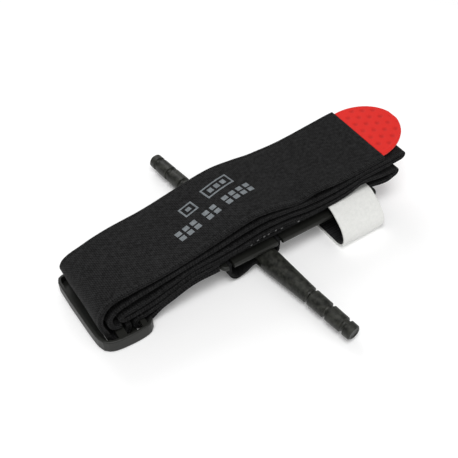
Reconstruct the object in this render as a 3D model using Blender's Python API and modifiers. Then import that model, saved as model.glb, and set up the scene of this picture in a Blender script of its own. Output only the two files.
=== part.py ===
"""Windlass tourniquet, folded for carrying: band, buckle, windlass, plate, clip and time strap.

The band lies along X and the windlass under it, along Y. Sizes are written in millimetres.
"""

import math

import bmesh
import bpy
from mathutils import Matrix, Vector

MM = 0.001  # metres in a millimetre
GAP = 0.3  # between pieces that touch

# Band: one long hook-and-loop webbing, folded into five layers
BAND_WIDTH = 38.1
BAND_THICK = 2.2
BAND_STEP = 3.0  # between the points of a ribbon
TURN_STEP = 2.0  # the same where it turns sharply
HAIRPIN_STEPS = 8
BASE_SHIFT_Y = 2.0  # the base layer lies this far in from the others, over most of its length
BASE_SHIFT_X = (-34.0, -12.0, 62.0, 74.0)  # starts, is full, is still full, ends
SAG_TOP_Z = 28.0  # the far edge drops by all of FAR_DROP above this
SAG_FLOOR_Z = 12.0  # and by nothing below this
TIP_START_X = 66.8
TIP_END_X = 88.8
TIP_HALF_WIDTH = 17.4
TIP_THICK = 1.8
TIP_Z = 33.3
TIP_RISE = math.radians(5.5)
TIP_ROLL = math.radians(2.4)
TIP_STEPS = 14  # round its end

# Buckle
BUCKLE_LEFT = -82.4
BUCKLE_RIGHT = -57.2
BUCKLE_HALF_WIDTH = 22.7
# Its outline, x and y, from its left side round the near end: the near left corner is the roundest
BUCKLE_OUTLINE = [
    (BUCKLE_LEFT, 8.0), (-82.1, -2.0), (-81.8, -10.0), (-81.2, -16.4), (-80.2, -19.2), (-78.5, -20.8),
    (-75.5, -22.0), (-70.0, -22.6), (-62.9, -22.5), (-59.4, -21.6), (-57.6, -19.8), (BUCKLE_RIGHT, -17.0),
    (BUCKLE_RIGHT, -14.0), (BUCKLE_RIGHT, 16.0), (BUCKLE_RIGHT, 19.0), (-58.0, 21.6),
    (-60.2, BUCKLE_HALF_WIDTH), (-63.0, BUCKLE_HALF_WIDTH), (-77.0, BUCKLE_HALF_WIDTH),
    (-79.4, BUCKLE_HALF_WIDTH), (-81.4, 21.8), (BUCKLE_LEFT, 19.4), (BUCKLE_LEFT, 17.0),
]
BUCKLE_HEIGHT = 6.4
BUCKLE_WALL = 1.3
BUCKLE_LEDGE_Z = 2.8  # the floor of the frame inside its wall
SLOT_HALF_WIDTH = 19.4
FIXED_BAR_X = -61.4
FIXED_BAR_Z = 4.7
FIXED_BAR_HALF = 1.2
LOOP_RADIUS = 3.1  # of the sewn loop's centreline
MIDDLE_BAR_X = (-73.6, -69.9)
MIDDLE_BAR_Z = (3.3, 6.3)
END_BAR_RIGHT = -77.6
TIE_BAR_X = (-67.8, -64.2)  # a thin web across the right slot
TIE_BAR_TOP = 1.0
CUT_Z = (-2.0, 12.0)  # past both faces of the frame

# Windlass rod
ROD_LENGTH = 140.0
ROD_Y = -1.9
ROD_Z = 5.3
ROD_TURN = math.radians(5.9)  # its near end lies this far towards +X
ROD_MIDDLE_RADIUS = 5.3
ROD_SHOULDER_RADIUS = 4.0
ROD_END_RADIUS = 3.6
ROD_PLAIN_HALF = 20.0
ROD_SHOULDER_AT = 43.0
GROOVES_FROM_END = (4.9, 14.6, 25.1)
GROOVE_HALF = 1.1
GROOVE_DEPTH = 0.9
ROD_SLOT_HALF = 18.3
ROD_SLOT_HEIGHT = 2.4
ROD_STEPS = 48
ROD_RECESS_RADIUS = 2.3  # in each end
ROD_RECESS_DEPTH = 0.3
ROD_CHAMFER = 0.7

# Strap that holds the rod to the plate
STRAP_WIDTH = 35.0
STRAP_THICK = 1.3
STRAP_LOOP_HALF = 5.4  # of the length that goes with the rod

# Stabilization plate
PLATE_LEFT = -22.3
PLATE_RIGHT = 66.0
PLATE_HALF_WIDTH = 19.6
PLATE_BOTTOM = 11.0
PLATE_TOP = 13.2
PLATE_CORNER = 3.0
PLATE_SLOTS = (-17.9, 8.2)
PLATE_SLOT_HALF = 1.4
HOLE_DEPTH = 20.0  # of every cutter through the plate and the clip

# Clip for the end of the rod
CLIP_X = 48.5
CLIP_LENGTH = 18.0
CLIP_HALF_WIDTH = 14.0
CLIP_WALL = 2.6
CLIP_LIP = 4.6
CLIP_BASE_Z = (8.3, 10.7)
CLIP_BOTTOM = 3.1
RIVET_SPACING_X = 10.0
RIVET_SPACING_Y = 7.0
RIVET_RADIUS = 1.2
RIVET_HEAD_RADIUS = 2.1
HOLE_SEGMENTS = 16
PATCH_HALF = 8.0  # of the hook patch under one side of the clip
PATCH_THICK = 0.7

# Time strap: white label webbing with a dark hook lining
TIME_LEFT = 36.3
TIME_RIGHT = 61.0
TIME_THICK = 0.8
LINING_THICK = 0.7
TIME_HINGE = (-19.4, 17.2)  # y, z
# Its sewn end and its bow, y and z
TIME_ANCHOR = [(-6.0, 17.35), (-18.4, 17.35)]
TIME_BOW = [
    (-19.6, 17.2), (-24.0, 14.6), (-28.6, 11.0), (-31.1, 6.8), (-31.0, 3.2), (-28.4, 0.8),
    (-24.0, 0.4), (-13.0, 0.4), (0, 0.4), (12.0, 0.4),
]
TIME_STEP = 2.5

SHIFT_X = -2.7  # puts the origin under the middle
SHIFT_Y = -ROD_Y

# Centrelines of the band's layers, x and z, from the buckle to the red tip
BASE_PATH = [
    (-58.6, 8.0), (-53, 9.6), (-47, 11.6), (-36, 15.2), (-24, 15.4), (20, 15.4), (60, 15.4),
    (69, 15.6), (73, 16.3), (76.0, 17.5),
]
LOOP_PATH = [(-59.0, 2.1), (-56, 4.3), (-52, 6.9), (-47, 8.7), (-36, 12.3), (-23.0, 12.6)]
LOWER_PATH = [
    (75.9, 20.7), (66, 21.6), (55, 22.9), (47, 20.4), (40, 19.3), (34, 19.2), (24, 19.1), (13, 20.6),
    (0, 20.8), (-12, 19.2), (-24, 18.3), (-36, 18.2), (-46, 15.0), (-56, 12.3), (-68, 10.9),
]
UPPER_PATH = [
    (-68, 14.5), (-58, 15.7), (-46, 18.9), (-36, 21.3), (-24, 22.0), (-12, 23.2), (0, 25.0),
    (13, 24.5), (24, 22.9), (38, 22.9), (47, 24.0), (55, 25.9), (66, 26.2), (77.8, 26.9),
]
RETURN_PATH = [
    (77.8, 29.7), (66, 29.2), (55, 28.8), (38, 26.9), (24, 27.0), (12, 28.5), (0, 29.7),
    (-12, 28.6), (-24, 26.5), (-36, 25.0), (-53, 22.6), (-66, 20.6),
]
TAIL_PATH = [
    (-66, 26.4), (-50, 27.1), (-36, 28.8), (-22, 31.2), (-4, 34.3), (8, 32.7), (18, 30.6), (28, 32.2),
    (41, 31.4), (54, 31.5), (TIP_START_X, 32.3),
]
# How far the far edge of the top layer lies below its near edge, x and drop
FAR_DROP = [
    (-80, 7.3), (-72, 6.9), (-64, 4.8), (-54, 3.0), (-40, 2.8), (-22, 2.3), (-4, 2.3), (8, 1.3),
    (19, 0.2), (28, 1.8), (41, 0.2), (62, -1.6), (80, -1.0),
]
TAIL_HINGE = (-67.0, 24.0)  # x, z
RETURN_TURN = [RETURN_PATH[-1], (-71.5, 18.9), (-74.6, 15.8), (-75.1, 12.6), (-73.8, 9.6), (-70.6, 8.5)]
TAIL_TURN = [(-77.2, 7.4), (-78.6, 12.0), (-79.0, 16.5), (-77.2, 21.8), (-73.6, 25.2), TAIL_PATH[0]]
WRAP_PATH = [
    (-67.6, 7.4), (-67.5, 4.4), (-69.2, 1.9), (-73.0, 1.6), (-75.4, 2.4), (-76.6, 4.4), (-77.0, 6.4),
]
# The outermost centre points of the tight folds, x
FOLD_RIGHT_LOWER = 77.8
FOLD_LEFT_INNER = -70.2
FOLD_RIGHT_UPPER = 79.9


def clear_scene():
    for obj in list(bpy.data.objects):
        bpy.data.objects.remove(obj)


def make_collection(name):
    collection = bpy.data.collections.new(name)
    bpy.context.scene.collection.children.link(collection)
    return collection


def make_material(name, colour, roughness, metallic=0.0):
    material = bpy.data.materials.new(name)
    material.use_nodes = True
    shader = material.node_tree.nodes["Principled BSDF"]
    shader.inputs["Base Color"].default_value = (*colour, 1)
    shader.inputs["Roughness"].default_value = roughness
    shader.inputs["Metallic"].default_value = metallic
    material.diffuse_color = (*colour, 1)
    return material


clear_scene()
PARTS = make_collection("tourniquet")
CUTTERS = make_collection("cutters")
LAYOUT = bpy.data.objects.new("layout", None)
LAYOUT.location = (SHIFT_X * MM, SHIFT_Y * MM, 0)
PARTS.objects.link(LAYOUT)

BLACK_WEBBING = make_material("black webbing", (0.017, 0.017, 0.019), 0.85)
RED_VINYL = make_material("red tip", (0.75, 0.035, 0.03), 0.5)
BLACK_PLASTIC = make_material("black plastic", (0.03, 0.031, 0.029), 0.4)
ROD_PLASTIC = make_material("rod plastic", (0.035, 0.036, 0.033), 0.42)
WHITE_WEBBING = make_material("white label webbing", (0.82, 0.82, 0.8), 0.7)
HOOK_TAPE = make_material("hook tape", (0.012, 0.012, 0.013), 0.9)
INNER_STRAP = make_material("inner strap", (0.02, 0.02, 0.021), 0.8)
RIVET_METAL = make_material("rivet", (0.25, 0.25, 0.26), 0.35, 1.0)


def add_object(name, data, material, collection=PARTS):
    obj = bpy.data.objects.new(name, data)
    collection.objects.link(obj)
    obj.parent = LAYOUT
    if material:
        data.materials.append(material)
    return obj


def add_empty(name, point):
    """An empty on a joint's axis, for the pieces that move about it."""
    empty = bpy.data.objects.new(name, None)
    PARTS.objects.link(empty)
    empty.parent = LAYOUT
    empty.location = Vector(point) * MM
    return empty


def hang_on(obj, empty):
    """Gives a piece that is drawn in the layout's frame an empty as its parent."""
    obj.data.transform(Matrix.Translation(-empty.location))
    obj.parent = empty


def mesh_object(name, bm, material, collection=PARTS):
    mesh = bpy.data.meshes.new(name)
    bm.to_mesh(mesh)
    bm.free()
    return add_object(name, mesh, material, collection)


def smooth_path(points, step):
    """Points about a step apart on a smooth curve through the given ones."""
    ends = [2 * Vector(points[0]) - Vector(points[1]), 2 * Vector(points[-1]) - Vector(points[-2])]
    knots = [ends[0]] + [Vector(p) for p in points] + [ends[1]]
    path = []
    for a, b, c, d in zip(knots, knots[1:], knots[2:], knots[3:]):
        length = (c - b).length
        before = (b - a).length
        after = (d - c).length
        leave = ((c - b) / length + (b - a) / before) / 2 * length
        arrive = ((d - c) / after + (c - b) / length) / 2 * length
        count = max(1, math.ceil(length / step))
        for i in range(count):
            t = i / count
            path.append(
                b * (2 * t**3 - 3 * t**2 + 1)
                + leave * (t**3 - 2 * t**2 + t)
                + c * (3 * t**2 - 2 * t**3)
                + arrive * (t**3 - t**2)
            )
    path.append(knots[-2])
    return path


def arc(centre, radius, start, end, count):
    """Points on a circle, from one angle to another in degrees."""
    points = []
    for i in range(count + 1):
        angle = math.radians(start + (end - start) * i / count)
        points.append((centre[0] + radius * math.cos(angle), centre[1] + radius * math.sin(angle)))
    return points


def height_at(line, x):
    """The height at x of a line of points that runs towards +X."""
    x = min(max(x, line[0].x), line[-1].x)
    for a, b in zip(line, line[1:]):
        if x <= b.x:
            return a.y + (b.y - a.y) * (x - a.x) / (b.x - a.x)
    return line[-1].y


def sag(x, z):
    """How far the folded band's far edge lies below its near edge, less so in the lower layers."""
    share = min(max((z - SAG_FLOOR_Z) / (SAG_TOP_Z - SAG_FLOOR_Z), 0), 1)
    return height_at(smooth_path(FAR_DROP, 2.0), x) * share**1.2


def base_shift(x):
    """How far in the base layer lies here."""
    start, full, still, end = BASE_SHIFT_X
    share = min(max((x - start) / (full - start), 0), max((end - x) / (end - still), 0), 1)
    return BASE_SHIFT_Y * share**2 * (3 - 2 * share)


def ribbon(name, path, material, width=BAND_WIDTH, thick=BAND_THICK, y=0.0, sagging=True, shift=None):
    """A strip of webbing: its side line in x and z, extruded across and thickened."""
    bm = bmesh.new()
    near = [bm.verts.new((p[0] * MM, (y - width / 2) * MM, p[1] * MM)) for p in path]
    for a, b in zip(near, near[1:]):
        bm.edges.new((a, b))
    made = bmesh.ops.extrude_edge_only(bm, edges=bm.edges[:])["geom"]
    for vert in made:
        if isinstance(vert, bmesh.types.BMVert):
            drop = sag(vert.co.x / MM, vert.co.z / MM) if sagging else 0
            vert.co.y += width * MM
            vert.co.z -= drop * MM
    if shift:
        for vert in bm.verts:
            vert.co.y += shift(vert.co.x / MM) * MM
    obj = mesh_object(name, bm, material)
    solidify(obj, thick)
    return obj


def solidify(obj, thick):
    solid = obj.modifiers.new("thickness", "SOLIDIFY")
    solid.thickness = thick * MM
    solid.offset = 0
    solid.use_even_offset = True


def bevel(obj, width, segments=2, angle=30):
    rounded = obj.modifiers.new("rounded edges", "BEVEL")
    rounded.width = width * MM
    rounded.segments = segments
    rounded.limit_method = "ANGLE"
    rounded.angle_limit = math.radians(angle)


def flat_shape(name, outline, depth, material, collection=PARTS):
    """A closed outline in the object's XY plane, extruded both ways along its Z, as a mesh."""
    curve = bpy.data.curves.new(name, "CURVE")
    curve.dimensions = "2D"
    curve.fill_mode = "BOTH"
    curve.extrude = depth / 2 * MM
    spline = curve.splines.new("POLY")
    spline.points.add(len(outline) - 1)
    for point, (x, y) in zip(spline.points, outline):
        point.co = (x * MM, y * MM, 0, 1)
    spline.use_cyclic_u = True
    source = bpy.data.objects.new(name + " outline", curve)
    bpy.context.scene.collection.objects.link(source)
    evaluated = source.evaluated_get(bpy.context.evaluated_depsgraph_get())
    mesh = bpy.data.meshes.new_from_object(evaluated)
    bpy.data.objects.remove(source)
    bpy.data.curves.remove(curve)
    mesh.name = name
    bm = bmesh.new()
    bm.from_mesh(mesh)
    bmesh.ops.remove_doubles(bm, verts=bm.verts, dist=1e-6)
    bmesh.ops.dissolve_limit(bm, angle_limit=math.radians(0.5), verts=bm.verts, edges=bm.edges)
    bmesh.ops.recalc_face_normals(bm, faces=bm.faces)
    bm.to_mesh(mesh)
    bm.free()
    mesh.materials.clear()
    return add_object(name, mesh, material, collection)


def box(name, low, high, material=None, collection=PARTS):
    bm = bmesh.new()
    bmesh.ops.create_cube(bm, size=1)
    low, high = Vector(low), Vector(high)
    for vert in bm.verts:
        share = vert.co + Vector((0.5, 0.5, 0.5))
        vert.co = Vector(low[i] + (high[i] - low[i]) * share[i] for i in range(3)) * MM
    return mesh_object(name, bm, material, collection)


def cut(obj, cutter, operation="DIFFERENCE"):
    cutter.hide_render = True
    cutter.display_type = "WIRE"
    boolean = obj.modifiers.new("cut " + cutter.name, "BOOLEAN")
    boolean.operation = operation
    boolean.object = cutter


def turned(name, profile, material, steps, collection=PARTS):
    """A profile of radius and height, from the top down, turned about Z."""
    bm = bmesh.new()
    verts = [bm.verts.new((r * MM, 0, z * MM)) for r, z in profile]
    for a, b in zip(verts, verts[1:]):
        bm.edges.new((a, b))
    obj = mesh_object(name, bm, material, collection)
    screw = obj.modifiers.new("turned", "SCREW")
    screw.steps = steps
    screw.render_steps = steps
    screw.use_merge_vertices = True
    screw.merge_threshold = 1e-6
    screw.use_smooth_shade = True
    return obj


def rounded_rectangle(left, right, half_width, corner, count=5):
    """An outline in x and y with round corners."""
    points = []
    for x, y, start in (
        (right - corner, half_width - corner, 0),
        (left + corner, half_width - corner, 90),
        (left + corner, corner - half_width, 180),
        (right - corner, corner - half_width, 270),
    ):
        points += arc((x, y), corner, start, start + 90, count)
    return points


def hairpin(name, start, end, tip, material=BLACK_WEBBING):
    """A tight fold between the ends of two layers, with its outermost centre point at tip."""
    middle = ((start[0] + end[0]) / 2, (start[1] + end[1]) / 2)
    reach = tip - middle[0]
    half = (end[1] - start[1]) / 2
    path = []
    for i in range(HAIRPIN_STEPS + 1):
        angle = math.pi * i / HAIRPIN_STEPS
        path.append((middle[0] + reach * math.sin(angle), middle[1] - half * math.cos(angle)))
    return ribbon(name, inset(path, 2 * GAP), material)


def inset(path, distance=GAP):
    """The path without a short stretch at both ends, where the next piece of band begins."""
    path = [Vector(p) for p in path]
    path[0] = path[0] + (path[1] - path[0]).normalized() * distance / 2
    path[-1] = path[-1] + (path[-2] - path[-1]).normalized() * distance / 2
    return path


def make_band():
    """The layers that stay put, from the sewn loop on the buckle to the one under the tail."""
    bar = (FIXED_BAR_X, FIXED_BAR_Z)
    base = inset(smooth_path(BASE_PATH, BAND_STEP))
    ribbon("band_base_layer", base, BLACK_WEBBING, shift=base_shift)
    loop = arc(bar, LOOP_RADIUS, 58, 295, 10)
    ribbon("band_buckle_loop", inset(loop), BLACK_WEBBING, sagging=False)
    ribbon("band_sewn_end", inset(smooth_path(LOOP_PATH, BAND_STEP)), BLACK_WEBBING)
    hairpin("band_fold_right_lower", BASE_PATH[-1], LOWER_PATH[0], FOLD_RIGHT_LOWER)
    ribbon("band_inner_lower_layer", inset(smooth_path(LOWER_PATH, BAND_STEP)), BLACK_WEBBING)
    hairpin("band_fold_left_inner", LOWER_PATH[-1], UPPER_PATH[0], FOLD_LEFT_INNER)
    ribbon("band_inner_upper_layer", inset(smooth_path(UPPER_PATH, BAND_STEP)), BLACK_WEBBING)
    hairpin("band_fold_right_upper", UPPER_PATH[-1], RETURN_PATH[0], FOLD_RIGHT_UPPER)
    ribbon("band_return_layer", inset(smooth_path(RETURN_PATH, BAND_STEP)), BLACK_WEBBING)
    ribbon("band_return_turn", inset(smooth_path(RETURN_TURN, TURN_STEP)), BLACK_WEBBING)


def make_buckle():
    """A flat frame with a thin wall, an end bar, a middle bar, a fixed bar and two slots."""
    pivot = add_empty("buckle_pivot_axis", (FIXED_BAR_X, 0, FIXED_BAR_Z))
    raised = Matrix.Translation((0, 0, BUCKLE_HEIGHT / 2 * MM))
    plan = smooth_path(BUCKLE_OUTLINE, BAND_STEP)
    frame = flat_shape("buckle_frame", plan, BUCKLE_HEIGHT, BLACK_PLASTIC)
    frame.data.transform(raised)
    bevel(frame, 0.5, 2, 40)
    low, high = CUT_Z
    middle_left, middle_right = MIDDLE_BAR_X
    middle_low, middle_high = MIDDLE_BAR_Z
    bar_left, bar_right = FIXED_BAR_X - FIXED_BAR_HALF, FIXED_BAR_X + FIXED_BAR_HALF
    bar_low, bar_high = FIXED_BAR_Z - FIXED_BAR_HALF, FIXED_BAR_Z + FIXED_BAR_HALF
    well = flat_shape(
        "inside of the wall", offset_path(plan, BUCKLE_WALL), high - BUCKLE_LEDGE_Z, None, CUTTERS
    )
    well.data.transform(Matrix.Translation((0, 0, (high + BUCKLE_LEDGE_Z) / 2 * MM)))
    bars = (("middle", middle_left, middle_right, middle_high), ("fixed", bar_left, bar_right, bar_high))
    for name, x_low, x_high, z_high in bars:
        near = (x_low, -BUCKLE_HALF_WIDTH, low)
        far = (x_high, BUCKLE_HALF_WIDTH, z_high)
        cut(well, box(f"ends of the {name} bar", near, far, None, CUTTERS))
    cut(frame, well)
    past_right = BUCKLE_RIGHT + 5
    spaces = (
        ("left slot", END_BAR_RIGHT, middle_left, low, high),
        ("right slot", middle_right, bar_left, TIE_BAR_TOP, high),
        ("left of the tie bar", middle_right, TIE_BAR_X[0], low, high),
        ("right of the tie bar", TIE_BAR_X[1], bar_left, low, high),
        ("beyond the fixed bar", bar_right, past_right, low, high),
        ("below the middle bar", middle_left - 1, middle_right + 1, low, middle_low),
        ("below the fixed bar", bar_left - 1, bar_right + 1, low, bar_low),
    )
    for name, x_low, x_high, z_low, z_high in spaces:
        near = (x_low, -SLOT_HALF_WIDTH, z_low)
        far = (x_high, SLOT_HALF_WIDTH, z_high)
        cut(frame, box(name, near, far, None, CUTTERS))
    return frame, pivot


def make_buckle_wrap(pivot):
    """The band's turn round the middle bar, which goes with the buckle."""
    wrap = ribbon("band_buckle_wrap", smooth_path(WRAP_PATH, TURN_STEP), BLACK_WEBBING, sagging=False)
    hang_on(wrap, pivot)


def make_tail():
    """The top layer, its turn at the left end and its red tip."""
    hinge = add_empty("tail_peel_axis", (TAIL_HINGE[0], 0, TAIL_HINGE[1]))
    ribbon("band_fold_left_outer", inset(smooth_path(TAIL_TURN, TURN_STEP)), BLACK_WEBBING)
    tail = ribbon("band_tail", inset(smooth_path(TAIL_PATH, BAND_STEP)), BLACK_WEBBING)
    hang_on(tail, hinge)
    outline = [(TIP_START_X + GAP, -TIP_HALF_WIDTH), (TIP_START_X + GAP, TIP_HALF_WIDTH)]
    round_from = TIP_START_X + 1
    for i in range(1, TIP_STEPS):
        angle = math.pi * (0.5 - i / TIP_STEPS)
        x = round_from + (TIP_END_X - round_from) * math.cos(angle)
        outline.append((x, TIP_HALF_WIDTH * math.sin(angle)))
    tip = flat_shape("band_tip", outline, TIP_THICK, RED_VINYL)
    start = Matrix.Translation((TIP_START_X * MM, 0, TIP_Z * MM))
    turned_up = Matrix.Rotation(-TIP_RISE, 4, "Y") @ Matrix.Rotation(TIP_ROLL, 4, "X")
    tip.data.transform(start @ turned_up @ Matrix.Translation((-TIP_START_X * MM, 0, 0)))
    bevel(tip, 0.4, 2, 40)
    hang_on(tip, hinge)


def rod_radius(along):
    """The rod's radius at a distance from its middle, without the grooves."""
    along = abs(along)
    if along < ROD_PLAIN_HALF:
        return ROD_MIDDLE_RADIUS
    if along < ROD_SHOULDER_AT:
        share = (along - ROD_PLAIN_HALF) / (ROD_SHOULDER_AT - ROD_PLAIN_HALF)
        return ROD_MIDDLE_RADIUS + (ROD_SHOULDER_RADIUS - ROD_MIDDLE_RADIUS) * share
    share = (along - ROD_SHOULDER_AT) / (ROD_LENGTH / 2 - ROD_SHOULDER_AT)
    return ROD_SHOULDER_RADIUS + (ROD_END_RADIUS - ROD_SHOULDER_RADIUS) * share


def make_windlass():
    axis = add_empty("windlass_axis", (0, ROD_Y, ROD_Z))
    axis.rotation_euler = (0, 0, ROD_TURN)
    half = ROD_LENGTH / 2
    floor = half - ROD_RECESS_DEPTH
    side = [
        (0, floor), (ROD_RECESS_RADIUS - 0.3, floor), (ROD_RECESS_RADIUS, half),
        (ROD_END_RADIUS - ROD_CHAMFER, half), (ROD_END_RADIUS, half - ROD_CHAMFER),
    ]
    for distance in GROOVES_FROM_END:
        for offset, depth in ((-1, 0), (-0.6, 0.7), (0, 1), (0.6, 0.7), (1, 0)):
            along = half - distance - offset * GROOVE_HALF
            side.append((rod_radius(along) - depth * GROOVE_DEPTH, along))
    side += [(rod_radius(ROD_SHOULDER_AT), ROD_SHOULDER_AT), (ROD_MIDDLE_RADIUS, ROD_PLAIN_HALF)]
    profile = side + [(r, -z) for r, z in reversed(side)]
    rod = turned("windlass_rod", profile, ROD_PLASTIC, ROD_STEPS)
    rod.parent = axis
    rod.rotation_euler = (math.pi / 2, 0, 0)
    slot = box(
        "rod slot",
        (-10, -ROD_SLOT_HALF, -ROD_SLOT_HEIGHT / 2),
        (10, ROD_SLOT_HALF, ROD_SLOT_HEIGHT / 2),
        None,
        CUTTERS,
    )
    slot.parent = axis
    cut(rod, slot)
    return axis


def make_strap(axis):
    """The inner strap: its turn through the rod, and an arm on each side up to the plate."""
    loop = box(
        "windlass_strap_loop",
        (-STRAP_LOOP_HALF, -STRAP_WIDTH / 2, -STRAP_THICK / 2),
        (STRAP_LOOP_HALF, STRAP_WIDTH / 2, STRAP_THICK / 2),
        INNER_STRAP,
    )
    loop.parent = axis
    bevel(loop, 0.4)
    left, right = PLATE_SLOTS
    top = PLATE_TOP - GAP
    slack_arm = [(-7.6, 4.6), (-10.6, 2.6), (-14.4, 2.0), (-17.2, 4.6), (left, 10.0), (left, top)]
    short_arm = [(right, 5.6), (right, 9.0), (right, top)]
    arms = {"windlass_strap_arm_left": slack_arm, "windlass_strap_arm_right": short_arm}
    for name, arm in arms.items():
        path = smooth_path(arm, TURN_STEP)
        ribbon(name, path, INNER_STRAP, STRAP_WIDTH, STRAP_THICK, ROD_Y, False)


def make_plate():
    plan = rounded_rectangle(PLATE_LEFT, PLATE_RIGHT, PLATE_HALF_WIDTH, PLATE_CORNER)
    plate = flat_shape("stabilization_plate", plan, PLATE_TOP - PLATE_BOTTOM, BLACK_PLASTIC)
    middle = (PLATE_TOP + PLATE_BOTTOM) / 2 * MM
    plate.data.transform(Matrix.Translation((0, 0, middle)))
    bevel(plate, 0.7, 2, 40)
    reach = STRAP_WIDTH / 2 + GAP
    for x in PLATE_SLOTS:
        low = (x - PLATE_SLOT_HALF, ROD_Y - reach, 0)
        high = (x + PLATE_SLOT_HALF, ROD_Y + reach, HOLE_DEPTH)
        cut(plate, box(f"strap slot at {x}", low, high, None, CUTTERS))
    for number, (x, y) in enumerate(rivet_places()):
        cut(plate, rivet_hole(f"plate rivet hole {number}", x, y))


def rivet_places():
    for x in (-0.5, 0.5):
        for y in (-0.5, 0.5):
            yield CLIP_X + x * RIVET_SPACING_X, y * RIVET_SPACING_Y


def rivet_hole(name, x, y):
    bm = bmesh.new()
    radius = (RIVET_RADIUS + GAP) * MM
    size = {"radius1": radius, "radius2": radius, "depth": HOLE_DEPTH * MM}
    bmesh.ops.create_cone(bm, cap_ends=True, segments=HOLE_SEGMENTS, **size)
    hole = mesh_object(name, bm, None, CUTTERS)
    hole.location = (x * MM, y * MM, CLIP_BASE_Z[1] * MM)
    return hole


def make_clip():
    """A base under the plate with a hook down each side, open in the middle."""
    outer = CLIP_HALF_WIDTH
    inner = outer - CLIP_WALL
    lip = inner - CLIP_LIP
    low, high = CLIP_BASE_Z
    bottom = CLIP_BOTTOM
    half = [
        (0, high), (outer - 1, high), (outer, high - 1), (outer, bottom + 2), (outer - 2, bottom),
        (lip + 0.8, bottom), (lip, bottom + 0.8), (lip, bottom + 1.6), (inner - 1.2, bottom + 2.3),
        (inner, bottom + 3.2), (inner, low - 1.0), (inner - 1, low), (0, low),
    ]
    outline = half + [(-y, z) for y, z in reversed(half[1:-1])]
    clip = flat_shape("windlass_clip", outline, CLIP_LENGTH, BLACK_PLASTIC)
    clip.location.x = CLIP_X * MM
    clip.rotation_euler = (math.pi / 2, 0, math.pi / 2)
    for number, (x, y) in enumerate(rivet_places()):
        cut(clip, rivet_hole(f"clip rivet hole {number}", x, y))
        head = CLIP_BASE_Z[0] - GAP
        profile = [
            (0, PLATE_TOP - GAP), (RIVET_RADIUS, PLATE_TOP - GAP), (RIVET_RADIUS, head),
            (RIVET_HEAD_RADIUS, head), (RIVET_HEAD_RADIUS, head - 0.5),
            (RIVET_HEAD_RADIUS * 0.6, head - 0.9), (0, head - 1.0),
        ]
        rivet = turned(f"clip_rivet_{number + 1}", profile, RIVET_METAL, HOLE_SEGMENTS)
        rivet.location = (x * MM, y * MM, 0)
    patch = box(
        "clip_hook_patch",
        (CLIP_X - PATCH_HALF, lip + 0.9, bottom - PATCH_THICK - GAP),
        (CLIP_X + PATCH_HALF, outer - 2.2, bottom - GAP),
        HOOK_TAPE,
    )
    bevel(patch, 0.2)


def across_ribbon(name, path, left, right, thick, material):
    """A strip that runs across the band: its side line in y and z, extruded along X."""
    bm = bmesh.new()
    side = [bm.verts.new((left * MM, p[0] * MM, p[1] * MM)) for p in path]
    for a, b in zip(side, side[1:]):
        bm.edges.new((a, b))
    made = bmesh.ops.extrude_edge_only(bm, edges=bm.edges[:])["geom"]
    for vert in made:
        if isinstance(vert, bmesh.types.BMVert):
            vert.co.x += (right - left) * MM
    obj = mesh_object(name, bm, material)
    solidify(obj, thick)
    return obj


def offset_path(path, distance):
    """A path beside another one, this far to its left."""
    moved = []
    for i, p in enumerate(path):
        before = path[max(i - 1, 0)]
        after = path[min(i + 1, len(path) - 1)]
        along = (Vector(after) - Vector(before)).normalized()
        moved.append(Vector(p) + Vector((-along.y, along.x)) * distance)
    return moved


def make_time_strap():
    hinge = add_empty("time_strap_axis", (0, *TIME_HINGE))
    across_ribbon("time_strap_anchor", TIME_ANCHOR, TIME_LEFT, TIME_RIGHT, TIME_THICK, WHITE_WEBBING)
    lowest = TIME_THICK / 2
    path = [Vector((p.x, max(p.y, lowest))) for p in smooth_path(TIME_BOW, TIME_STEP)]
    strap = across_ribbon("time_strap", path, TIME_LEFT, TIME_RIGHT, TIME_THICK, WHITE_WEBBING)
    hang_on(strap, hinge)
    between = (TIME_THICK + LINING_THICK) / 2 + GAP / 2
    inside = offset_path(path, between)[2:]
    lining = across_ribbon(
        "time_strap_lining", inside, TIME_LEFT + 0.6, TIME_RIGHT - 0.6, LINING_THICK, HOOK_TAPE
    )
    hang_on(lining, hinge)


make_band()
buckle, buckle_pivot = make_buckle()
hang_on(buckle, buckle_pivot)
make_buckle_wrap(buckle_pivot)
make_tail()
windlass_axis = make_windlass()
make_strap(windlass_axis)
make_plate()
make_clip()
make_time_strap()
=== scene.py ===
"""Windlass tourniquet, folded for carrying: webbing, print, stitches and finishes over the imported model."""

import math

import bmesh
import bpy
from mathutils.bvhtree import BVHTree
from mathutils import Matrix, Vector, noise


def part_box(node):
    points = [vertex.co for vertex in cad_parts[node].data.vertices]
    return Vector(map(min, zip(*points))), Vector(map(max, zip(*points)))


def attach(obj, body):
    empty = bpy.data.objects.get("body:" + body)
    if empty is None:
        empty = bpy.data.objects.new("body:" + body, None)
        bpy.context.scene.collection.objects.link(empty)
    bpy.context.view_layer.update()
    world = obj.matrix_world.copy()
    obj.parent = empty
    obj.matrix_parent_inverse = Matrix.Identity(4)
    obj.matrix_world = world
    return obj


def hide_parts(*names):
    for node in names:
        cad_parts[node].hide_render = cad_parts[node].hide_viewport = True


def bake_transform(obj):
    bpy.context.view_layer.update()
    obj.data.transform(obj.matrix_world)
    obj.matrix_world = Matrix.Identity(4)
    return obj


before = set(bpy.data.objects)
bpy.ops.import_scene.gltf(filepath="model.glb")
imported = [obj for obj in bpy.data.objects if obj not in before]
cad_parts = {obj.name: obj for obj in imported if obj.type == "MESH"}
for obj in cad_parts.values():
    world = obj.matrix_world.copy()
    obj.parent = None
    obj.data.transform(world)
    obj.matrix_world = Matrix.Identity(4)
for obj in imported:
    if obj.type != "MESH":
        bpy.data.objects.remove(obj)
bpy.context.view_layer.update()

MM = 0.001  # metres in a millimetre

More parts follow.
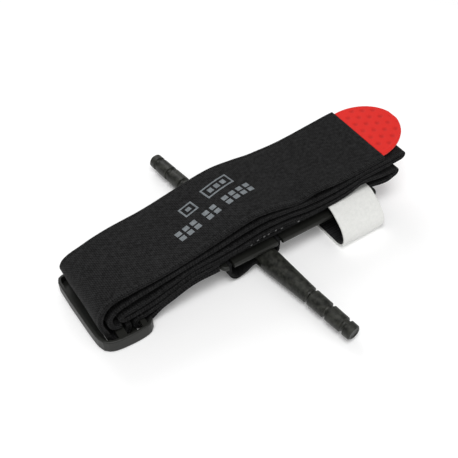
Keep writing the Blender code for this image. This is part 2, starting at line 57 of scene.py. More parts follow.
# The layout's own frame, in millimetres, has X = 0 at the rod and Y = 0 in the middle of the band
ROD_LOW, ROD_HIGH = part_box("windlass_rod")
LAYERS_LOW, LAYERS_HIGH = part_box("band_base_layer")
ORIGIN = Vector(((ROD_LOW[0] + ROD_HIGH[0]) / 2, (LAYERS_LOW[1] + LAYERS_HIGH[1]) / 2, 0))

# Webbing
BAND_WIDTH = 38.1
BAND_THICK = 2.2
PLY_GROOVE = 0.6  # depth of the groove between its two plies
SELVEDGE = 2.5  # width of the border that a selvedge line marks off
PLAIN_BORDER = 1.0  # the same on webbing without the line
COLUMN = 2.4  # between points across the flat of the webbing
EDGE_ROLL = 0.5  # this far in from its sides, the weave follows the rounded edge
BAND_STEP = 1.0  # between points along a route
STRAP_STEP = 0.6
TIME_STEP = 0.8
WAVE_ALONG = 0.05  # how fast the ripple of the webbing changes along it and across it
WAVE_ACROSS = 0.07
DRIFT_ALONG = 0.018  # how fast its sideways drift changes along it
DRIFT_SIZE = 3  # times the ripple

# Where the folded layers lie beside each other
BASE_SHIFT_Y = 2.0  # the base layer lies this far in from the others, over most of its length
BASE_SHIFT_X = (-34.0, -12.0, 62.0, 74.0)  # starts, is full, is still full, ends
BASE_Z = (13.5, 17.0)  # only the base layer lies between these
SAG_TOP_Z = 28.0  # the far edge drops by all of FAR_DROP above this
SAG_FLOOR_Z = 12.0  # and by nothing below this
SAG_POWER = 1.2  # above 1, the lower layers stay straighter
# How far the far edge of the top layer lies below its near edge, x and drop
FAR_DROP = [
    (-80, 7.3), (-72, 6.9), (-64, 4.8), (-54, 3.0), (-40, 2.8), (-22, 2.3), (-4, 2.3), (8, 1.3),
    (19, 0.2), (28, 1.8), (41, 0.2), (62, -1.6), (80, -1.0),
]

# Red tip
TIP_START_X = 66.8
TIP_END_X = 88.8
TIP_GAP = 0.15  # from the end of the webbing to the tip
TIP_STRAIGHT = 1.0  # its sides are straight for this long
TIP_HALF_WIDTH = 17.4
TIP_END_HALF = 0.05  # the same at its very end, which doesn't close to a point
TIP_THICK = 1.7
TIP_Z = 33.3
TIP_RISE = math.tan(math.radians(5.5))
TIP_ROLL = math.tan(math.radians(2.4))
TIP_ROWS = 83
TIP_COLUMNS = 96
TIP_EDGE_WIDTH = 0.55  # the rounding of its edge, and how much thinner it is there
TIP_EDGE_DROP = 0.45
TIP_RIM_IN = 1.1  # the middle of the pressed rim, its half width and its height
TIP_RIM_HALF = 0.7
TIP_RIM_HEIGHT = 0.14
END_STRETCH = 1.2  # the distance to the round end counts this many times
DIMPLE_PITCH = 5.4
DIMPLE_ROW = DIMPLE_PITCH * 0.8  # between rows
DIMPLE_START_X = TIP_START_X + 3.4
DIMPLE_RADIUS = 1.5
DIMPLE_DEPTH = 0.25
DIMPLE_BORDER = 2.2  # no dimples are nearer to the edge

# The band's centreline, x and z, from its sewn end to the red tip
SEWN_END = [(-23.0, 12.6), (-36, 12.3), (-47, 8.7), (-52, 6.9), (-56, 4.3), (-59.0, 2.1)]
BAR_TURN_CENTRE = (-61.4, 4.7)
BAR_TURN_RADIUS = 3.1
BAR_TURN_ANGLES = (292, 62)
BASE_LAYER = [
    (-58.6, 8.0), (-53, 9.6), (-47, 11.6), (-36, 15.2), (-24, 15.4), (20, 15.4), (60, 15.4),
    (69, 15.6), (73, 16.3), (76.0, 17.5),
]
FOLD_RIGHT_LOWER = 77.8
LOWER_LAYER = [
    (75.9, 20.7), (66, 21.6), (55, 22.9), (47, 20.4), (40, 19.3), (34, 19.2), (24, 19.1), (13, 20.6),
    (0, 20.8), (-12, 19.2), (-24, 18.3), (-36, 18.2), (-46, 15.0), (-56, 12.3), (-68, 10.9),
]
FOLD_LEFT_INNER = -70.2
UPPER_LAYER = [
    (-68, 14.5), (-58, 15.7), (-46, 18.9), (-36, 21.3), (-24, 22.0), (-12, 23.2), (0, 25.0),
    (13, 24.5), (24, 22.9), (38, 22.9), (47, 24.0), (55, 25.9), (66, 26.2), (77.8, 26.9),
]
FOLD_RIGHT_UPPER = 79.9
RETURN_LAYER = [
    (77.8, 29.7), (66, 29.2), (55, 28.8), (38, 26.9), (24, 27.0), (12, 28.5), (0, 29.7),
    (-12, 28.6), (-24, 26.5), (-36, 25.0), (-53, 22.6), (-66, 20.6), (-71.5, 18.9), (-74.6, 15.8),
    (-75.1, 12.6), (-73.8, 9.6), (-70.6, 8.5),
]
BUCKLE_WRAP = [
    (-67.6, 7.4), (-67.5, 4.4), (-69.2, 1.9), (-73.0, 1.6), (-75.4, 2.4), (-76.6, 4.4), (-77.0, 6.4),
]
TAIL = [
    (-77.2, 7.4), (-78.6, 12.0), (-79.0, 16.5), (-77.2, 21.8), (-73.6, 25.2), (-66, 26.4),
    (-50, 27.1), (-36, 28.8), (-22, 31.2), (-4, 34.3), (8, 32.7), (18, 30.6), (28, 32.2),
    (41, 31.4), (54, 31.5), (TIP_START_X, 32.3),
]

# Windlass strap, from the plate's slots to the rod, x and z
ROD_Y = -1.9
STRAP_WIDTH = 35.0
STRAP_THICK = 1.3
SLACK_ARM = [(-6.0, 5.1), (-10.6, 2.6), (-14.4, 2.0), (-17.2, 4.6), (-17.9, 10.0), (-17.9, 12.9)]
SHORT_ARM = [(6.9, 5.3), (7.9, 6.2), (8.2, 9.0), (8.2, 12.9)]
ROD_SLOT_Z = 5.3
ROD_SLOT_X = range(-5, 6)
STRAP_TOP_Z = 11.6  # the strap ends here, inside its two fixed ends
STRAP_END_Z = 10.75  # and these start here

# Time strap, from its sewn anchor round the bow to the arm under the clip, y and z
TIME_LEFT = 36.3
TIME_RIGHT = 61.0
TIME_WIDTH = TIME_RIGHT - TIME_LEFT
TIME_THICK = 0.8
TIME_GROOVE = 0.05
TIME_STRAP = [
    (-6.0, 17.35), (-17.0, 17.35), (-19.6, 17.0), (-24.0, 14.6), (-28.6, 11.0), (-31.1, 6.8),
    (-31.0, 3.2), (-28.4, 0.8), (-24.0, 0.4), (-13.0, 0.4), (0, 0.4), (12.0, 0.4),
]
LINING_WIDTH = TIME_WIDTH - 1.0
LINING_THICK = 0.7
LINING_GROOVE = 0.1
LINING_GAP = 0.12
LINING_START = -22.0  # the lining begins where the strap has come this far down the bow

# Print on the tail: rows of plain bars in place of any words, each in the row's own frame
PRINT_ROW = (-35.2, -9.5)  # the near left corner of the lower row
PRINT_TURN = math.radians(8.0)
PRINT_LIFT = 0.06
PRINT_CELL = 1.2  # bars are cut into pieces about this wide, which follow the webbing
BAR_GROUPS = (3, 2, 4)
BAR_STEP = 4.05
BAR_WIDTH = 2.75
BAR_HEIGHT = 5.5
BAR_SPLIT = 0.8
GROUP_SPACE = 2.7
FRAME_LINE = 0.8
LARGE_FRAME = (22.5, 9.4, 37.0, 16.0)  # x low, y low, x high, y high
LARGE_FRAME_MARKS = 3
LARGE_FRAME_MARK = (25.0, 11.4, 27.3, 14.0)
LARGE_FRAME_MARK_STEP = 3.5
SMALL_FRAME = (9.5, 9.0, 16.5, 15.0)
SMALL_FRAME_MARK = (11.8, 11.0, 14.2, 13.0)

# Stitches along both edges of the tail
STITCH_Y = 16.85
STITCH_START_X = -64.0
STITCH_END_X = TIP_START_X - 2
STITCH_LENGTH = 2.0
STITCH_SPACE = 0.55
STITCH_RADIUS = 0.18
STITCH_FLATTENED = 0.7

# Pale stitches on the near edge of the lower layer, x and z
LOWER_STITCHES = (
    (-7.5, 18.9), (-4.2, 19.9), (-0.9, 20.3), (1.4, 20.4), (5.3, 20.5), (8.6, 20.0), (17.9, 19.0),
)
LOWER_STITCH_Y = -19.2
LOWER_STITCH_LENGTH = 1.1
LOWER_STITCH_Z = (-0.3, 0.1)  # its ends, beside the height given above
LOWER_STITCH_RADIUS = 0.25

# Weave, as shares of the twill's pitch
YARN_PITCH = 0.5
PICK_PITCH = 0.62

# Stage, in metres
FLOOR_SIZE = 6
FLOOR_Z = -0.0002
FLOOR_COLOUR = (0.93, 0.93, 0.93, 1)
FLOOR_GLOW = 0.12  # keeps the floor nearly white and its shadows soft
WHITE = (1, 1, 1, 1)
WORLD_LIGHT = 0.36
LAMPS = (  # name, place, size and power
    ("key", (-0.2, -0.25, 0.9), 0.45, 5.2),
    ("fill", (0.3, -0.8, 0.35), 0.6, 1.3),
    ("back", (0.1, 0.7, 0.6), 0.5, 2.2),
)
CAMERA_AT = (-125.0, -178.7, 237.7)  # in the layout
CAMERA_BACK = (-0.3819, -0.5727, 0.7254)
CAMERA_LENS = 54.0


def lay(x, y, z):
    """A point of the layout, in millimetres, as a point of the frame."""
    return ORIGIN + Vector((x, y, z)) * MM


def smooth_path(points, step):
    """Points about a step apart on a smooth curve through the given ones."""
    ends = [2 * Vector(points[0]) - Vector(points[1]), 2 * Vector(points[-1]) - Vector(points[-2])]
    knots = [ends[0]] + [Vector(p) for p in points] + [ends[1]]
    path = []
    for a, b, c, d in zip(knots, knots[1:], knots[2:], knots[3:]):
        length = (c - b).length
        leave = ((c - b) / length + (b - a) / (b - a).length) / 2 * length
        arrive = ((d - c) / (d - c).length + (c - b) / length) / 2 * length
        count = max(1, math.ceil(length / step))
        for i in range(count):
            t = i / count
            path.append(
                b * (2 * t**3 - 3 * t**2 + 1)
                + leave * (t**3 - 2 * t**2 + t)
                + c * (3 * t**2 - 2 * t**3)
                + arrive * (t**3 - t**2)
            )
    path.append(knots[-2])
    return path


def arc(centre, radius, start, end, count):
    """Points on an arc between two angles in degrees."""
    points = []
    for i in range(count + 1):
        angle = math.radians(start + (end - start) * i / count)
        points.append(
            Vector((centre[0] + radius * math.cos(angle), centre[1] + radius * math.sin(angle)))
        )
    return points


def hairpin(start, end, tip, count=14):
    """The points of a tight fold between the ends of two layers."""
    middle = ((start[0] + end[0]) / 2, (start[1] + end[1]) / 2)
    half = (end[1] - start[1]) / 2
    points = []
    for i in range(1, count):
        angle = math.pi * i / count
        x = middle[0] + (tip - middle[0]) * math.sin(angle)
        points.append(Vector((x, middle[1] - half * math.cos(angle))))
    return points


def normals_of(path):
    """The direction to the left of a path at each of its points."""
    normals = []
    for i in range(len(path)):
        along = (path[min(i + 1, len(path) - 1)] - path[max(i - 1, 0)]).normalized()
        normals.append(Vector((-along.y, along.x)))
    return normals


def moved_left(path, distance):
    return [point + normal * distance for point, normal in zip(path, normals_of(path))]


def lengths_along(path):
    """How far along the path each of its points lies."""
    lengths = [0.0]
    for a, b in zip(path, path[1:]):
        lengths.append(lengths[-1] + (b - a).length)
    return lengths


def height_at(line, x):
    """The height at x of a line of points that runs towards +X."""
    x = min(max(x, line[0].x), line[-1].x)
    for a, b in zip(line, line[1:]):
        if x <= b.x:
            return a.y + (b.y - a.y) * (x - a.x) / (b.x - a.x)
    return line[-1].y


FAR_DROP_LINE = smooth_path(FAR_DROP, 2.0)


def sag(x, side, z):
    """How far the folded band lies below its near edge. side runs from 0 there to 1 at the far."""
    share = min(max((z - SAG_FLOOR_Z) / (SAG_TOP_Z - SAG_FLOOR_Z), 0), 1)
    return height_at(FAR_DROP_LINE, x) * share**SAG_POWER * side


def base_shift(x, z):
    """How far in the base layer lies here."""
    start, full, still, end = BASE_SHIFT_X
    share = min(max((x - start) / (full - start), 0), max((end - x) / (end - still), 0), 1)
    return BASE_SHIFT_Y * share**2 * (3 - 2 * share) if BASE_Z[0] < z < BASE_Z[1] else 0


# A point of a route, and how far across the strip, as a point of the frame


def along_band(point, across):
    return lay(point.x, across + base_shift(point.x, point.y), point.y)


def along_strap(point, across):
    return lay(point.x, ROD_Y + across, point.y)


def across_band(point, across):
    return lay((TIME_LEFT + TIME_RIGHT) / 2 + across, point.x, point.y)


def lowered(path, side):
    """A path of the band as it runs at one of its edges, 0 at the near one and 1 at the far."""
    return [Vector((p.x, p.y - sag(p.x, side, p.y))) for p in path]


# Building meshes


def add_object(name, bm, material):
    """A new object of the scene, made of a mesh that is ready."""
    mesh = bpy.data.meshes.new(name)
    bm.to_mesh(mesh)
    bm.free()
    mesh.materials.append(material)
    obj = bpy.data.objects.new(name, mesh)
    bpy.context.scene.collection.objects.link(obj)
    return obj


def webbing_section(width, thick, groove=PLY_GROOVE, selvedge=True):
    """A closed outline of across and height: two plies, rounded edges and a selvedge line."""
    half, up = width / 2, thick / 2
    edge = [(half, up * 0.45), (half - 0.06, up * 0.8), (half - 0.3, up * 0.97)]
    if selvedge:
        edge += [(half - 1.0, up), (half - 1.9, up * 0.98), (half - 2.2, up * 0.86)]
        edge += [(half - SELVEDGE, up)]
    columns = max(3, round((width - 2 * SELVEDGE) / COLUMN))
    inner = half - (SELVEDGE if selvedge else PLAIN_BORDER)
    flat = [(inner - 2 * inner * i / columns, up) for i in range(1, columns)]
    top = edge + flat + [(-x, z) for x, z in reversed(edge)]
    bottom = [(x, -z) for x, z in reversed(top)]
    return top + [(-half + groove, 0)] + bottom + [(half - groove, 0)]


def skin(bm, uv, rings, lengths, outline, width):
    """Faces along a strip and over its ends, with the way along it and round it as their UVs."""
    count = len(outline)
    for i in range(len(rings) - 1):
        for k in range(count):
            n = (k + 1) % count
            corners = ((i, k), (i, n), (i + 1, n), (i + 1, k))
            face = bm.faces.new([rings[row][column] for row, column in corners])
            face.smooth = True
            for loop, (row, column) in zip(face.loops, corners):
                across, height = outline[column]
                rolled = across + (height if abs(across) > width / 2 - EDGE_ROLL else 0)
                loop[uv].uv = (lengths[row] * MM, rolled * MM)
    bm.faces.new(rings[0])
    bm.faces.new(reversed(rings[-1]))
    bmesh.ops.recalc_face_normals(bm, faces=bm.faces)


def strip(name, path, width, thick, place, material, sagging=False, ripple=0.0, seed=0, **section):
    """A closed strip of webbing along a path, and its length in metres. place sets a point across it."""
    outline = webbing_section(width, thick, **section)
    near, far = (lowered(path, side) if sagging else path for side in (0, 1))
    near_normals, far_normals = normals_of(near), normals_of(far)
    lengths = lengths_along(path)
    bm = bmesh.new()
    uv = bm.loops.layers.uv.new("UVMap")
    rings = []
    for i, length in enumerate(lengths):
        drift = ripple * noise.noise(Vector((length * DRIFT_ALONG, seed, 5.0))) * DRIFT_SIZE
        ring = []
        for across, height in outline:
            side = across / width + 0.5
            centre = near[i].lerp(far[i], side)
            normal = near_normals[i].lerp(far_normals[i], side).normalized()
            wave = noise.noise(Vector((length * WAVE_ALONG, across * WAVE_ACROSS, seed)))
            ring.append(bm.verts.new(place(centre + normal * (height + ripple * wave), across + drift)))
        rings.append(ring)
    skin(bm, uv, rings, lengths, outline, width)
    return add_object(name, bm, material), lengths[-1] * MM


def surface_of(obj):
    """An object's surface, as a tree that rays can be cast at."""
    faces = [face.vertices[:] for face in obj.data.polygons]
    return BVHTree.FromPolygons([vert.co for vert in obj.data.vertices], faces)


def on_top(surface, x, y, lift=0.0):
    """The point on the upper side of a surface at x and y, raised by lift."""
    hit = surface.ray_cast(lay(x, y, 60), Vector((0, 0, -1)))[0]
    return hit + Vector((0, 0, lift * MM))


# Materials


def node(tree, kind, inputs=None, **settings):
    """A new shader node. An input is a value, or the socket that feeds it."""
    made = tree.nodes.new(kind)
    for key, value in settings.items():
        setattr(made, key, value)
    for socket, value in (inputs or {}).items():
        if isinstance(value, bpy.types.NodeSocket):
            tree.links.new(value, made.inputs[socket])
        else:
            made.inputs[socket].default_value = value
    return made


def calculate(tree, operation, a, b=0.0, c=0.0):
    return node(tree, "ShaderNodeMath", {0: a, 1: b, 2: c}, operation=operation).outputs[0]


def weighted(tree, *terms):
    """The sum of some values, each times its weight."""
    total = 0.0
    for value, weight in terms:
        total = calculate(tree, "MULTIPLY_ADD", value, weight, total)
    return total


def ridges(tree, value, pitch):
    """A wave from 0 to 1 with a pitch in metres along a coordinate."""
    turn = calculate(tree, "MULTIPLY", value, 2 * math.pi / pitch)
    wave = calculate(tree, "SINE", turn)
    return calculate(tree, "MULTIPLY_ADD", wave, 0.5, 0.5)


def speckle(tree, scale, detail):
    """Noise over the object, with a scale in spots to a metre."""
    place = node(tree, "ShaderNodeTexCoord").outputs["Object"]
    made = node(tree, "ShaderNodeTexNoise", {"Vector": place, "Scale": scale, "Detail": detail})
    return made.outputs["Fac"]


def new_material(name):
    material = bpy.data.materials.new(name)
    material.use_nodes = True
    return material, material.node_tree, material.node_tree.nodes["Principled BSDF"]


def finish_shader(tree, shader, colour, height, relief, strength, values):
    """Feeds a shader its colour and its bump, with a relief in millimetres, and sets the values."""
    tree.links.new(colour, shader.inputs["Base Color"])
    bump = node(
        tree, "ShaderNodeBump", {"Height": height, "Distance": relief * MM, "Strength": strength}
    )
    tree.links.new(bump.outputs["Normal"], shader.inputs["Normal"])
    for name, value in values.items():
        shader.inputs[name].default_value = value


def mixed(tree, factor, low, high):
    """A colour between two. The node's inputs 6 and 7 and its output 2 are its colours."""
    made = node(
        tree, "ShaderNodeMix", {"Factor": factor, 6: (*low, 1), 7: (*high, 1)}, data_type="RGBA"
    )
    return made.outputs[2]


def woven(name, dark, light, pitch, sheen, roughness=0.9, relief=0.12, twill=1.0):
    """Woven webbing: yarns along and across, a diagonal twill, fuzz, slow changes of tone and painted shade
    in the weave's low parts.
    """
    material, tree, shader = new_material(name)
    uv = node(tree, "ShaderNodeSeparateXYZ", {0: node(tree, "ShaderNodeUVMap").outputs[0]})
    along, across = uv.outputs["X"], uv.outputs["Y"]
    diagonal = ridges(tree, weighted(tree, (along, 1.0), (across, twill)), pitch * MM)
    yarns = ridges(tree, across, pitch * MM * YARN_PITCH)
    picks = ridges(tree, along, pitch * MM * PICK_PITCH)
    fuzz = speckle(tree, 2600.0, 2.0)
    height = weighted(tree, (diagonal, 0.6), (yarns, 0.5), (picks, 0.5), (fuzz, 0.7))
    tone = speckle(tree, 45.0, 3.0)
    mottle = speckle(tree, 700.0, 1.0)
    # The weave's relief paints shade into the colour where it lies low; tone and mottle are random changes of
    # tone.
    tone_and_painted_shade = weighted(tree, (height, 0.8), (tone, 0.3), (mottle, 1.2))
    colour = mixed(tree, calculate(tree, "SUBTRACT", tone_and_painted_shade, 1.22), dark, light)
    finish_shader(
        tree, shader, colour, height, relief, 0.8,
        {
            "Roughness": roughness,
            "Specular IOR Level": 0.15,
            "Sheen Weight": sheen,
            "Sheen Roughness": 0.45,
        },
    )
    return material


def moulded(name, dark, light, roughness, grain=900.0, relief=0.02, metallic=0.0, spots=60.0):
    """Moulded plastic or dull metal: a fine grain, faint handling wear and changes of gloss."""
    material, tree, shader = new_material(name)
    broad = speckle(tree, spots, 4.0)
    tone = node(tree, "ShaderNodeMapRange", {"Value": broad, "From Min": 0.35, "From Max": 0.65})
    gloss = node(
        tree,
        "ShaderNodeMapRange",
        {"Value": broad, "To Min": roughness - 0.06, "To Max": roughness + 0.1},
    )
    tree.links.new(gloss.outputs["Result"], shader.inputs["Roughness"])
    colour = mixed(tree, tone.outputs["Result"], dark, light)
    finish_shader(
        tree, shader, colour, speckle(tree, grain, 3.0), relief, 0.6,
        {"Metallic": metallic, "Specular IOR Level": 0.3},
    )
    return material


def red_vinyl():
    """Coated red fabric with painted shade in its dimples, which the mesh marks in an attribute."""
    material, tree, shader = new_material("red_tip_vinyl")
    dimple = node(tree, "ShaderNodeAttribute", attribute_name="dimple").outputs["Fac"]
    # The dimples' depth paints shade into the colour; the speckle is a random change of tone.
    tone_and_painted_shade = weighted(tree, (dimple, 0.5), (speckle(tree, 110.0, 2.0), 0.25))
    colour = mixed(tree, tone_and_painted_shade, (0.72, 0.018, 0.012), (0.4, 0.006, 0.005))
    finish_shader(
        tree, shader, colour, speckle(tree, 1500.0, 3.0), 0.03, 0.7,
        {"Roughness": 0.6, "Specular IOR Level": 0.25, "Sheen Weight": 0.05},
    )
    return material


BLACK_WEBBING = woven(
    "black_webbing", (0.001, 0.001, 0.001), (0.024, 0.024, 0.0245), pitch=1.3, sheen=0.02
)
STRAP_WEBBING = woven(
    "inner_webbing", (0.003, 0.003, 0.003), (0.018, 0.018, 0.019), pitch=0.8, sheen=0.03
)
WHITE_WEBBING = woven(
    "white_label_webbing", (0.74, 0.745, 0.72), (0.84, 0.84, 0.815), pitch=0.5, sheen=0.05,
    roughness=0.65, relief=0.04, twill=0.0,
)
HOOK_TAPE = woven(
    "hook_tape", (0.004, 0.004, 0.0045), (0.03, 0.03, 0.032), pitch=1.3, sheen=0.1,
    roughness=0.95, relief=0.35, twill=0.0,
)
BLACK_THREAD = woven(
    "black_thread", (0.004, 0.004, 0.004), (0.022, 0.022, 0.023), pitch=0.3, sheen=0.1,
    roughness=0.8,
)
GREY_THREAD = woven(
    "grey_thread", (0.06, 0.06, 0.06), (0.2, 0.2, 0.2), pitch=0.3, sheen=0.2, roughness=0.6
)
GREY_INK = woven(
    "grey_print", (0.12, 0.135, 0.145), (0.26, 0.28, 0.295), pitch=1.0, sheen=0.05, roughness=0.8
)
PLASTIC = moulded(
    "black_plastic", (0.009, 0.0095, 0.008), (0.014, 0.0145, 0.0125), roughness=0.45
)
ROD_PLASTIC = moulded(
    "rod_plastic", (0.006, 0.0065, 0.005), (0.034, 0.035, 0.029), roughness=0.42, grain=1400.0,
    relief=0.06, spots=500.0,
)
RIVET_METAL = moulded(
    "rivet_metal", (0.1, 0.1, 0.1), (0.2, 0.2, 0.2), roughness=0.35, grain=1200.0, relief=0.01,
    metallic=1.0,
)
RED_VINYL = red_vinyl()


# The band


def band_route():
    """The centreline of the folded band, from its sewn end to where it goes down into the buckle."""
    return (
        smooth_path(SEWN_END, BAND_STEP)
        + arc(BAR_TURN_CENTRE, BAR_TURN_RADIUS, *BAR_TURN_ANGLES, count=22)
        + smooth_path(BASE_LAYER, BAND_STEP)
        + hairpin(BASE_LAYER[-1], LOWER_LAYER[0], FOLD_RIGHT_LOWER)
        + smooth_path(LOWER_LAYER, BAND_STEP)
        + hairpin(LOWER_LAYER[-1], UPPER_LAYER[0], FOLD_LEFT_INNER)
        + smooth_path(UPPER_LAYER, BAND_STEP)
        + hairpin(UPPER_LAYER[-1], RETURN_LAYER[0], FOLD_RIGHT_UPPER)
        + smooth_path(RETURN_LAYER, BAND_STEP)
    )


def make_band():
    body, length = strip(
        "band_webbing", band_route(), BAND_WIDTH, BAND_THICK, along_band, BLACK_WEBBING,
        sagging=True, ripple=0.12, seed=3,
    )
    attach(body, "band")
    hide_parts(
        "band_base_layer", "band_buckle_loop", "band_sewn_end", "band_fold_right_lower",
        "band_inner_lower_layer", "band_fold_left_inner", "band_inner_upper_layer",
        "band_fold_right_upper", "band_return_layer", "band_return_turn",
    )


def make_wrap():
    """The turn of the band round the buckle's middle bar."""
    path = smooth_path(BUCKLE_WRAP, STRAP_STEP)
    wrap, length = strip(
        "band_wrap_webbing", path, BAND_WIDTH, BAND_THICK, along_band, BLACK_WEBBING
    )
    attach(wrap, "buckle")
    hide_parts("band_buckle_wrap")


def make_tail():
    tail, length = strip(
        "band_tail_webbing", smooth_path(TAIL, BAND_STEP), BAND_WIDTH, BAND_THICK, along_band,
        BLACK_WEBBING, sagging=True, ripple=0.2, seed=11,
    )
    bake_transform(tail)
    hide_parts("band_tail", "band_fold_left_outer")
    return tail


# The red tip


def tip_shape(t):
    """The tip's x and half width, as t runs from its straight edge at 0 to its round end at 1."""
    if t == 0:
        return TIP_START_X + TIP_GAP, TIP_HALF_WIDTH
    angle = t * math.pi / 2
    reach = TIP_END_X - TIP_START_X - TIP_STRAIGHT
    x = TIP_START_X + TIP_STRAIGHT + reach * math.sin(angle)
    return x, max(TIP_HALF_WIDTH * math.cos(angle), TIP_END_HALF)


def in_dimple(x, y):
    """How deep in a dimple a point lies, from 0 to 1. The dimples stand in staggered rows."""
    row = round((x - DIMPLE_START_X) / DIMPLE_ROW)
    shift = DIMPLE_PITCH / 2 if row % 2 else 0
    column_y = round((y - shift) / DIMPLE_PITCH) * DIMPLE_PITCH + shift
    distance = math.hypot(x - (DIMPLE_START_X + row * DIMPLE_ROW), y - column_y)
    return max(0.0, 1 - (distance / DIMPLE_RADIUS) ** 2)


def tip_relief(x, y, half):
    """How far the tip's surface lies from its middle, and how deep in a dimple."""
    border = min(half - abs(y), (TIP_END_X - x) * END_STRETCH)
    dimple = in_dimple(x, y) if border > DIMPLE_BORDER else 0.0
    rim = max(0.0, 1 - abs(border - TIP_RIM_IN) / TIP_RIM_HALF)
    soft = max(0.0, 1 - border / TIP_EDGE_WIDTH) ** 2
    rise = TIP_THICK / 2 - TIP_EDGE_DROP * soft + TIP_RIM_HEIGHT * rim - DIMPLE_DEPTH * dimple
    return rise, dimple


def tip_side(bm, side, marks):
    """The rows of points of one side of the tip, 1 for its upper side and -1 for its lower."""
    rows = []
    for i in range(TIP_ROWS + 1):
        x, half = tip_shape(i / TIP_ROWS)
        row = []
        for j in range(TIP_COLUMNS + 1):
            y = half * math.sin((j / TIP_COLUMNS - 0.5) * math.pi)
            rise, dimple = tip_relief(x, y, half)
            middle = TIP_Z + TIP_RISE * (x - TIP_START_X) + TIP_ROLL * y
            row.append(bm.verts.new(lay(x, y, middle + side * rise)))
            marks.append(dimple)
        rows.append(row)
    return rows


def once_round(rows):
    """The outer points of one side of the tip, in order."""
    right = [row[-1] for row in reversed(rows[:-1])]
    return [row[0] for row in rows] + rows[-1][1:] + right + rows[0][-2:0:-1]


def make_tip():
    bm = bmesh.new()
    marks = []
    top = tip_side(bm, 1, marks)
    bottom = tip_side(bm, -1, marks)
    for rows in (top, bottom):
        for low, high in zip(rows, rows[1:]):
            for j in range(TIP_COLUMNS):
                bm.faces.new((low[j], high[j], high[j + 1], low[j + 1]))
        for a, b in zip(rows[0], rows[0][1:]):
            bm.edges.get((a, b)).smooth = False  # the straight edge is cut, not rounded
    over, under = once_round(top), once_round(bottom)
    for k in range(len(over)):
        n = (k + 1) % len(over)
        bm.faces.new((over[k], over[n], under[n], under[k]))
    bmesh.ops.recalc_face_normals(bm, faces=bm.faces)
    for face in bm.faces:
        face.smooth = True
    tip = add_object("red_tip", bm, RED_VINYL)
    # The depth in each dimple, which the red material paints as shade.
    tip.data.attributes.new("dimple", "FLOAT", "POINT").data.foreach_set("value", marks)
    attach(tip, "tail")
    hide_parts("band_tip")


# The straps


def strap_end(side, route):
    """The end of one arm of the windlass strap, which stays in the plate's slot."""
    held = [p for p in route if p.y > STRAP_END_Z]
    end, _ = strip(
        f"windlass_strap_{side}_end", held, STRAP_WIDTH, STRAP_THICK, along_strap, STRAP_WEBBING
    )
    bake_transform(end)
    return end


def make_windlass_strap():
    """One strap through the rod, and its two ends."""
    left = smooth_path(SLACK_ARM, STRAP_STEP)
    right = smooth_path(SHORT_ARM, STRAP_STEP)
    turning = [p for p in reversed(left) if p.y <= STRAP_TOP_Z]
    turning += [Vector((x, ROD_SLOT_Z)) for x in ROD_SLOT_X]
    turning += [p for p in right if p.y <= STRAP_TOP_Z]
    strap, length = strip(
        "windlass_strap", turning, STRAP_WIDTH, STRAP_THICK, along_strap, STRAP_WEBBING
    )
    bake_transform(strap)
    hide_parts("windlass_strap_arm_left", "windlass_strap_loop", "windlass_strap_arm_right")
    ends = [strap_end("left", left), strap_end("right", right)]


def time_path():
    """The route of the time strap, which lies no lower than the floor lets it."""
    lowest = TIME_THICK / 2
    return [Vector((p.x, max(p.y, lowest))) for p in smooth_path(TIME_STRAP, TIME_STEP)]


def make_time_strap(path):
    strap, length = strip(
        "time_strap_webbing", path, TIME_WIDTH, TIME_THICK, across_band, WHITE_WEBBING,
        groove=TIME_GROOVE, selvedge=False,
    )
    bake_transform(strap)
    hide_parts("time_strap", "time_strap_anchor")


def make_lining(path):
    """The hook tape on the inside of the time strap."""
    start = next(i for i, p in enumerate(path) if p.x < LINING_START)
    inside = moved_left(path, (TIME_THICK + LINING_THICK) / 2 + LINING_GAP)[start:]
    lining, length = strip(
        "time_strap_hooks", inside, LINING_WIDTH, LINING_THICK, across_band, HOOK_TAPE,
        groove=LINING_GROOVE, selvedge=False,
    )
    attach(lining, "time_strap")
    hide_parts("time_strap_lining")


# Threads and print


def beads(name, places, material, radius, body):
    """Short stitches: one long bead from a to b for each pair of places."""
    bm = bmesh.new()
    for a, b in places:
        along = b - a
        turn = along.to_track_quat("X", "Z").to_matrix()
        for vert in bmesh.ops.create_uvsphere(bm, u_segments=8, v_segments=5, radius=1)["verts"]:
            x, y, z = vert.co
            stretched = Vector((x * along.length / 2, y * radius, z * radius * STITCH_FLATTENED))
            vert.co = (a + b) / 2 + turn @ stretched
    for face in bm.faces:
        face.smooth = True
    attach(add_object(name, bm, material), body)


def make_tail_stitches(surface):
    places = []
    for y in (-STITCH_Y, STITCH_Y):
        x = STITCH_START_X
        while x < STITCH_END_X:
            places.append((on_top(surface, x, y), on_top(surface, x + STITCH_LENGTH, y)))
            x += STITCH_LENGTH + STITCH_SPACE
    beads("tail_edge_stitches", places, BLACK_THREAD, STITCH_RADIUS * MM, "tail")


def make_lower_stitches():
    places = []
    for x, z in LOWER_STITCHES:
        start = lay(x, LOWER_STITCH_Y, z + LOWER_STITCH_Z[0])
        end = lay(x + LOWER_STITCH_LENGTH, LOWER_STITCH_Y, z + LOWER_STITCH_Z[1])
        places.append((start, end))
    beads("lower_edge_stitches", places, GREY_THREAD, LOWER_STITCH_RADIUS * MM, "band")


def frame_bars(x_low, y_low, x_high, y_high):
    """The four sides of a plain frame."""
    line = FRAME_LINE
    return [
        (x_low, y_low, x_high, y_low + line),
        (x_low, y_high - line, x_high, y_high),
        (x_low, y_low + line, x_low + line, y_high - line),
        (x_high - line, y_low + line, x_high, y_high - line),
    ]


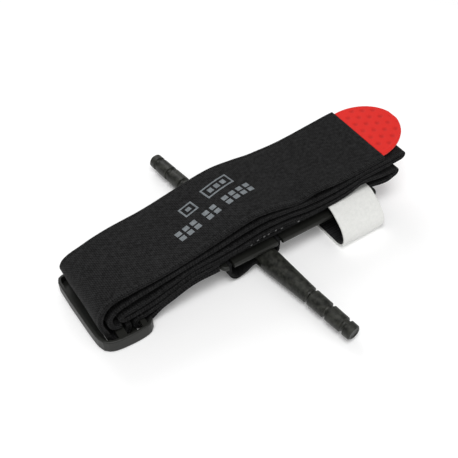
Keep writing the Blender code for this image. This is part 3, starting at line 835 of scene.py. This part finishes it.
def print_bars():
    """Generic marks: three groups of split bars, and above them two plain frames."""
    bars = []
    x = 0.0
    for group in BAR_GROUPS:
        for _ in range(group):
            bars.append((x, 0, x + BAR_WIDTH, (BAR_HEIGHT - BAR_SPLIT) / 2))
            bars.append((x, (BAR_HEIGHT + BAR_SPLIT) / 2, x + BAR_WIDTH, BAR_HEIGHT))
            x += BAR_STEP
        x += GROUP_SPACE
    bars += frame_bars(*LARGE_FRAME)
    x_low, y_low, x_high, y_high = LARGE_FRAME_MARK
    for k in range(LARGE_FRAME_MARKS):
        shift = LARGE_FRAME_MARK_STEP * k
        bars.append((x_low + shift, y_low, x_high + shift, y_high))
    return bars + frame_bars(*SMALL_FRAME) + [SMALL_FRAME_MARK]


def make_print(surface):
    bm = bmesh.new()
    uv = bm.loops.layers.uv.new("UVMap")
    cos, sin = math.cos(PRINT_TURN), math.sin(PRINT_TURN)
    for x_low, y_low, x_high, y_high in print_bars():
        count = max(1, round((x_high - x_low) / PRINT_CELL))
        width = (x_high - x_low) / count
        for i in range(count):
            left, right = x_low + i * width, x_low + (i + 1) * width
            corners = ((left, y_low), (right, y_low), (right, y_high), (left, y_high))
            verts = []
            for x, y in corners:
                place = (PRINT_ROW[0] + x * cos - y * sin, PRINT_ROW[1] + x * sin + y * cos)
                verts.append(bm.verts.new(on_top(surface, *place, PRINT_LIFT)))
            face = bm.faces.new(verts)
            for loop, (x, y) in zip(face.loops, corners):
                loop[uv].uv = (x * MM, y * MM)
    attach(add_object("tail_print", bm, GREY_INK), "tail")


# Finishes of the CAD nodes that stay


def finish_nodes():
    finishes = {
        "windlass_rod": ROD_PLASTIC,
        "buckle_frame": PLASTIC,
        "stabilization_plate": PLASTIC,
        "windlass_clip": PLASTIC,
        "clip_hook_patch": HOOK_TAPE,
    }
    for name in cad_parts:
        if name.startswith("clip_rivet"):
            finishes[name] = RIVET_METAL
    for name, material in finishes.items():
        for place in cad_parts[name].material_slots:
            place.material = material


# The stage


def make_floor():
    bpy.ops.mesh.primitive_plane_add(size=FLOOR_SIZE, location=(0, 0, FLOOR_Z))
    floor = bpy.context.object
    floor.name = "floor"
    material, _, shader = new_material("pale_floor")
    shader.inputs["Base Color"].default_value = FLOOR_COLOUR
    shader.inputs["Roughness"].default_value = 0.9
    shader.inputs["Emission Color"].default_value = WHITE
    shader.inputs["Emission Strength"].default_value = FLOOR_GLOW
    floor.data.materials.append(material)


def make_lights():
    world = bpy.data.worlds.new("studio")
    bpy.context.scene.world = world
    world.use_nodes = True
    background = world.node_tree.nodes["Background"]
    background.inputs["Color"].default_value = WHITE
    background.inputs["Strength"].default_value = WORLD_LIGHT
    for name, place, size, power in LAMPS:
        light = bpy.data.lights.new(name, "AREA")
        light.size = size
        light.energy = power
        lamp = bpy.data.objects.new(name, light)
        lamp.location = place
        lamp.rotation_euler = (-Vector(place)).to_track_quat("-Z", "Y").to_euler()
        bpy.context.scene.collection.objects.link(lamp)


def make_camera():
    camera = bpy.data.cameras.new("camera")
    camera.lens = CAMERA_LENS
    seen = bpy.data.objects.new("camera", camera)
    seen.location = lay(*CAMERA_AT)
    seen.rotation_euler = (-Vector(CAMERA_BACK)).to_track_quat("-Z", "Y").to_euler()
    bpy.context.scene.collection.objects.link(seen)
    bpy.context.scene.camera = seen
    bpy.context.scene.view_settings.view_transform = "Standard"


make_floor()
make_lights()
make_camera()
make_band()
make_wrap()
tail = make_tail()
make_tip()
make_windlass_strap()
time_route = time_path()
make_time_strap(time_route)
make_lining(time_route)
tail_surface = surface_of(tail)
make_tail_stitches(tail_surface)
make_lower_stitches()
make_print(tail_surface)
finish_nodes()
